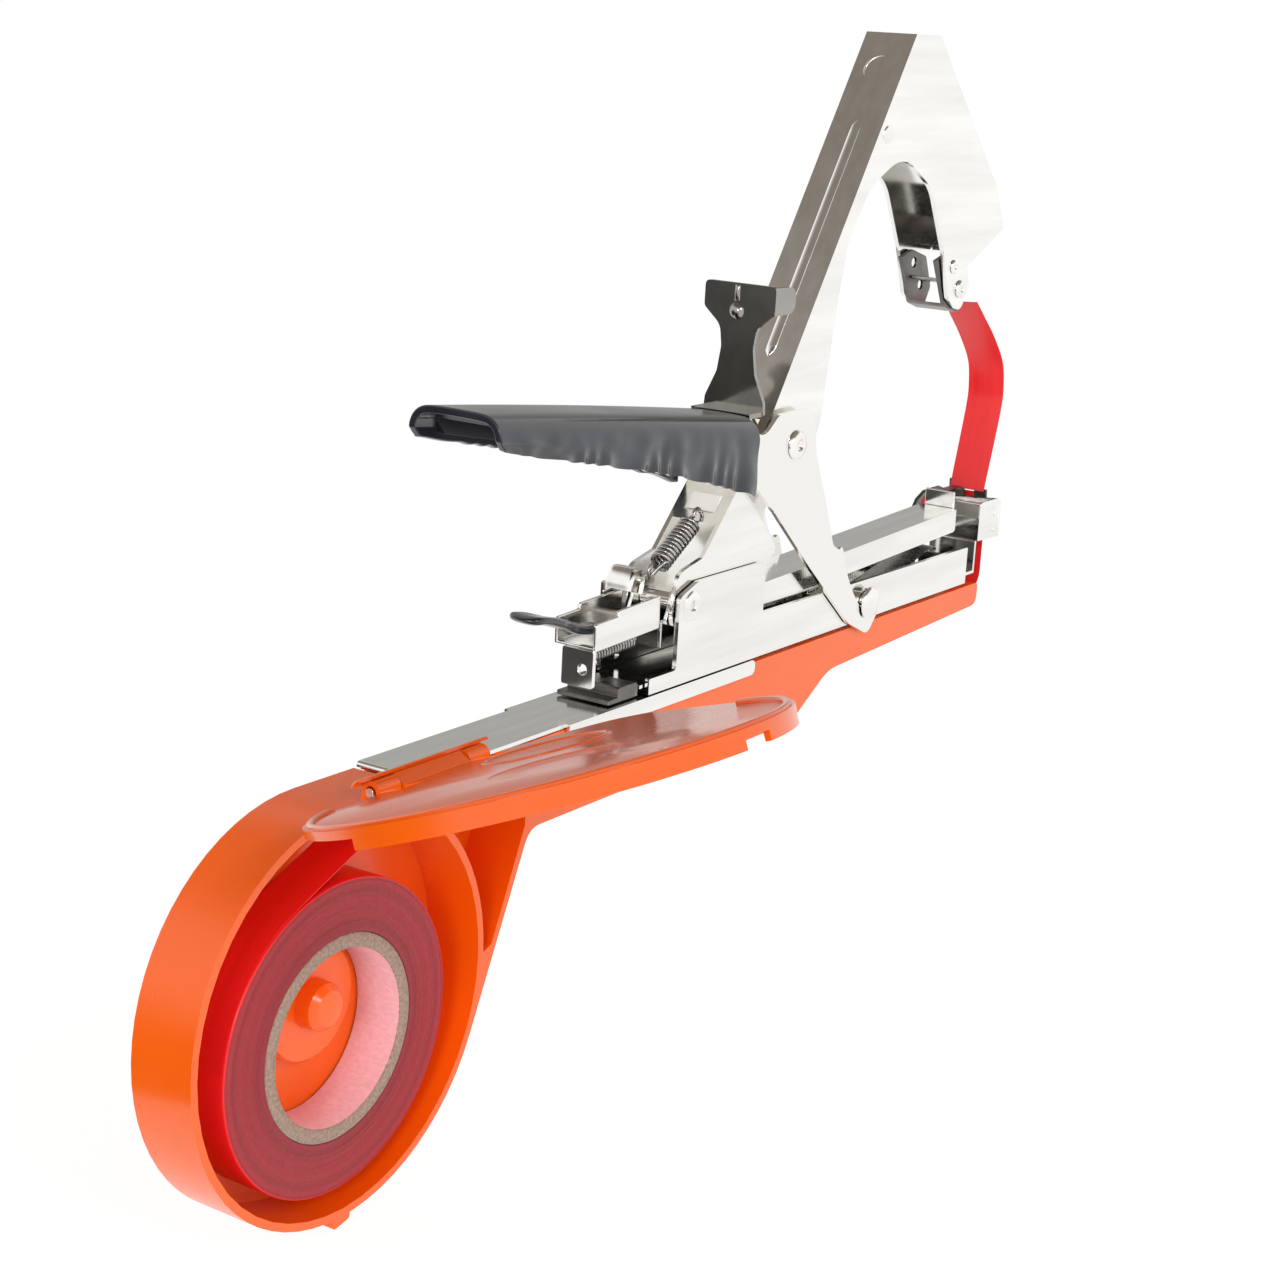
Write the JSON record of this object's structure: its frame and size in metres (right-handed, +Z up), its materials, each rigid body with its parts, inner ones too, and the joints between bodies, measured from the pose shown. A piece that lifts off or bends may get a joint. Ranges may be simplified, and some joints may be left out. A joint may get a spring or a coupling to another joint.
{
  "type": "tape tool",
  "caption": "Hand-held tape gun that ties plants or bags: tape roll in a round cassette under a stapling base, with a hooked clincher arm closed by a squeeze handle.",
  "frame": {"origin": "centre of the tool's middle plane on the flat top of the saddle plate, over the neck", "axes": "+X forward from the roll to the jaw, +Y to the closed side of the cassette, +Z up, towards the arm"},
  "size_m": [0.2991, 0.0997, 0.2189],
  "materials": {
    "nickel_plate": "bright nickel plated pressed steel",
    "dark_steel": "dark hardened steel",
    "mirror_leaf": "dark mirror nickel",
    "spring_steel": "oiled spring wire and strip",
    "brassed_spring": "brassed spring wire",
    "orange_case": "glossy moulded plastic",
    "vinyl_grip": "glossy dipped vinyl",
    "black_knob": "gloss",
    "red_tape": "satin stretch film",
    "red_tip": "gloss",
    "roll_side": "wound film edge",
    "card_core": "grey card"
  },
  "bodies": {
    "frame": {"cassette_body": "orange_case", "saddle_plate": "nickel_plate", "base_channel": "nickel_plate", "base_floor": "nickel_plate", "arm_pivot_pin": "nickel_plate", "hook_pin_near": "nickel_plate", "hook_pin_far": "nickel_plate", "driver_blade": "dark_steel", "lift_spring": "spring_steel", "rear_bracket": "dark_steel", "spring_tab": "nickel_plate", "lid_hinge_pin": "nickel_plate", "jaw_guide": "nickel_plate", "tape_guide": "dark_steel", "tape_run": "red_tape", "tape_strip": "red_tape", "return_spring": "spring_steel"},
    "lid": {"cassette_lid": "orange_case"},
    "roll": {"tape_roll": "roll_side", "tape_core": "card_core"},
    "arm": {"clincher_arm": "nickel_plate", "head_insert": "dark_steel", "clincher_plate": "dark_steel", "cutter_blade": "spring_steel", "head_rivet_near_1": "nickel_plate", "head_rivet_near_2": "nickel_plate", "head_rivet_far_1": "nickel_plate", "head_rivet_far_2": "nickel_plate", "handle_pivot_pin": "nickel_plate", "torsion_spring": "brassed_spring"},
    "catch": {"tape_catch": "spring_steel"},
    "handle": {"handle_lever": "nickel_plate", "handle_grip": "vinyl_grip", "thumb_leaf": "mirror_leaf"},
    "magazine": {"magazine_cover": "nickel_plate", "magazine_floor": "dark_steel", "magazine_face": "nickel_plate", "staple_rail": "spring_steel", "staple_strip": "spring_steel", "follower": "dark_steel"},
    "pusher": {"pusher_housing": "nickel_plate", "pusher_knob": "black_knob", "latch_plate": "nickel_plate", "guide_rod": "nickel_plate", "follower_spring": "spring_steel"},
    "presser": {"tape_presser": "dark_steel", "presser_tip": "red_tip"}
  },
  "joints": [
    {"name": "arm_hinge", "type": "hinge", "parent": "frame", "child": "arm", "pos_m": [0.0574, 0, 0.0168], "axis": [0, 1, 0], "range_deg": [0, 21], "stiffness_Nm_per_rad": 0.6, "springref_deg": -28.65, "deforming": ["return_spring", "tape_strip"]},
    {"name": "handle_hinge", "type": "hinge", "parent": "arm", "child": "handle", "pos_m": [0.0941, 0, 0.0472], "axis": [0, 1, 0], "range_deg": [-25.3, 0], "deforming": ["torsion_spring"]},
    {"name": "lid_hinge", "type": "hinge", "parent": "frame", "child": "lid", "pos_m": [-0.05, -0.0092, 0.0012], "axis": [1, 0, 0], "range_deg": [0, 111]},
    {"name": "roll_spin", "type": "hinge", "parent": "frame", "child": "roll", "pos_m": [-0.05, 0, -0.0461], "axis": [0, 1, 0], "continuous": true},
    {"name": "magazine_hinge", "type": "hinge", "parent": "frame", "child": "magazine", "pos_m": [0.0574, 0, 0.0168], "axis": [0, 1, 0], "range_deg": [0, 4.2], "stiffness_Nm_per_rad": 1.5, "springref_deg": -8.59, "deforming": ["lift_spring"]},
    {"name": "pusher_slide", "type": "slide", "parent": "magazine", "child": "pusher", "axis": [-0.9992, 0, -0.0401], "range_m": [0, 0.06], "deforming": ["follower_spring"]},
    {"name": "catch_hinge", "type": "hinge", "parent": "arm", "child": "catch", "pos_m": [0.1679, 0, 0.0785], "axis": [0, 1, 0], "range_deg": [-4, 8], "stiffness_Nm_per_rad": 0.02},
    {"name": "presser_hinge", "type": "hinge", "parent": "frame", "child": "presser", "pos_m": [0.1893, 0.0016, 0.0223], "axis": [1, 0, 0], "range_deg": [0, 12], "stiffness_Nm_per_rad": 0.02, "springref_deg": -5.73}
  ],
  "couplings": [
    {"joint": "handle_hinge", "follows": "arm_hinge", "ratio": -1.2}
  ]
}
